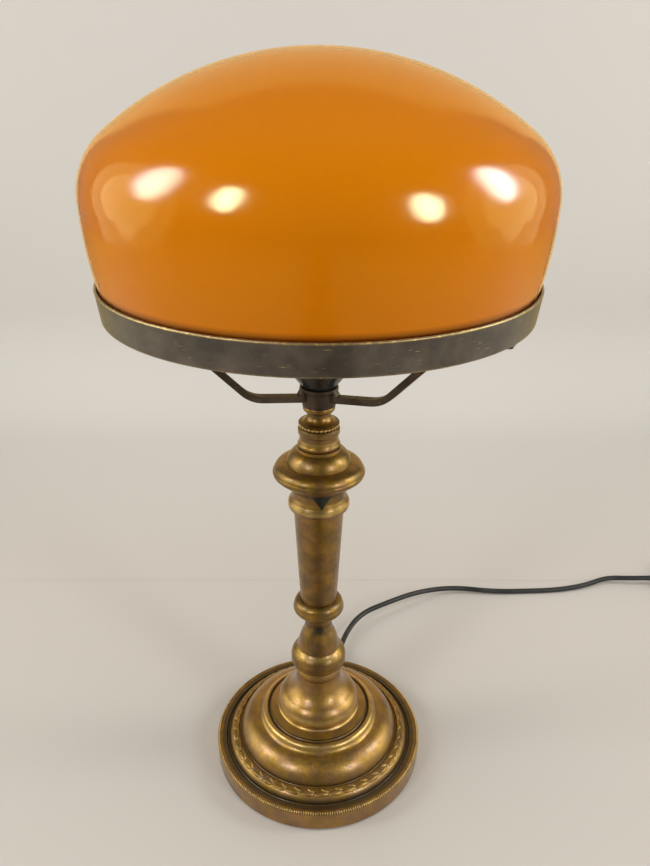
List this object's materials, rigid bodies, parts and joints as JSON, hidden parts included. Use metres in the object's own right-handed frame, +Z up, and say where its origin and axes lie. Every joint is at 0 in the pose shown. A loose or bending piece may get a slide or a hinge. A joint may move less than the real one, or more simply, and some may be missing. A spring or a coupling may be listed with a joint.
{
  "type": "table lamp",
  "caption": "Table lamp: a domed glass shade rests in a ring on bent arms above a turned column and a stepped round foot; its cord has a rocker switch and a plug.",
  "frame": {"origin": "middle of the round foot, on the table", "axes": "+Z up along the lamp axis, -Y towards the viewer, +X to the right, where the cord leads"},
  "size_m": [0.6045, 0.3274, 0.4641],
  "materials": {
    "cased_glass": "polished opal glass, opaque",
    "dark_brass": "dark patina, worn edges",
    "bronze": "dark brown patina",
    "aged_brass": "aged, hand polished",
    "steel": "zinc plated",
    "iron": "rough cast",
    "felt": "felt",
    "black_plastic": "moulded",
    "black_cord": "smooth",
    "core_sheath": "extruded",
    "ceramic": "glazed",
    "contact_brass": "bright",
    "bulb_glass": "frosted",
    "nickel": "rolled",
    "insulator": "glass bead",
    "solder": "soldered",
    "rocker": "moulded",
    "plated": "nickel plated"
  },
  "bodies": {
    "lamp": {"shade_ring": "dark_brass", "ring_screws": "dark_brass", "spider": "bronze", "socket_cap": "black_plastic", "seat_neck": "aged_brass", "beaded_collar": "aged_brass", "neck": "aged_brass", "knop": "aged_brass", "upper_collar": "aged_brass", "column_tube": "aged_brass", "lower_collar": "aged_brass", "baluster": "aged_brass", "base_shell": "aged_brass", "cord_lead": "black_cord", "threaded_tube": "steel", "tube_nut": "steel", "tube_washer": "steel", "socket_nut": "contact_brass", "base_weight": "iron", "base_plate": "steel", "plate_screws": "steel", "base_felt": "felt", "cord_bushing": "black_plastic", "inner_cord": "black_cord", "core_wires": "core_sheath", "socket_sleeve": "black_plastic", "socket_insert": "ceramic", "screw_shell": "contact_brass", "shell_contact": "contact_brass", "centre_contact": "contact_brass", "terminal_screws": "contact_brass", "switch_base": "black_plastic", "switch_cover": "black_plastic", "switch_pin": "steel", "switch_contacts": "contact_brass", "switch_screws": "steel", "cord_link": "black_cord", "cord_coil": "black_cord", "cord_tail": "black_cord", "plug_body": "black_plastic", "plug_pins": "plated"},
    "shade": {"glass_shade": "cased_glass"},
    "bulb_carrier": {"bulb_tip": "solder"},
    "bulb": {"bulb_glass": "bulb_glass", "bulb_cap": "nickel", "bulb_insulator": "insulator"},
    "rocker": {"switch_rocker": "rocker"}
  },
  "joints": [
    {"name": "shade_lift", "type": "slide", "parent": "lamp", "child": "shade", "axis": [0, 0, 1], "range_m": [0, 0.1]},
    {"name": "bulb_rise", "type": "slide", "parent": "lamp", "child": "bulb_carrier", "axis": [0, 0, 1], "range_m": [0, 0.0146]},
    {"name": "bulb_turn", "type": "hinge", "parent": "bulb_carrier", "child": "bulb", "pos_m": [0, 0, 0.33], "axis": [0, 0, 1], "range_deg": [0, 1440]},
    {"name": "switch_rock", "type": "hinge", "parent": "lamp", "child": "rocker", "pos_m": [0.37, 0.1935, 0.012], "axis": [0, 1, 0], "range_deg": [0, 24]}
  ],
  "couplings": [
    {"joint": "bulb_rise", "follows": "bulb_turn", "m_per_rad": 0.00057757}
  ]
}
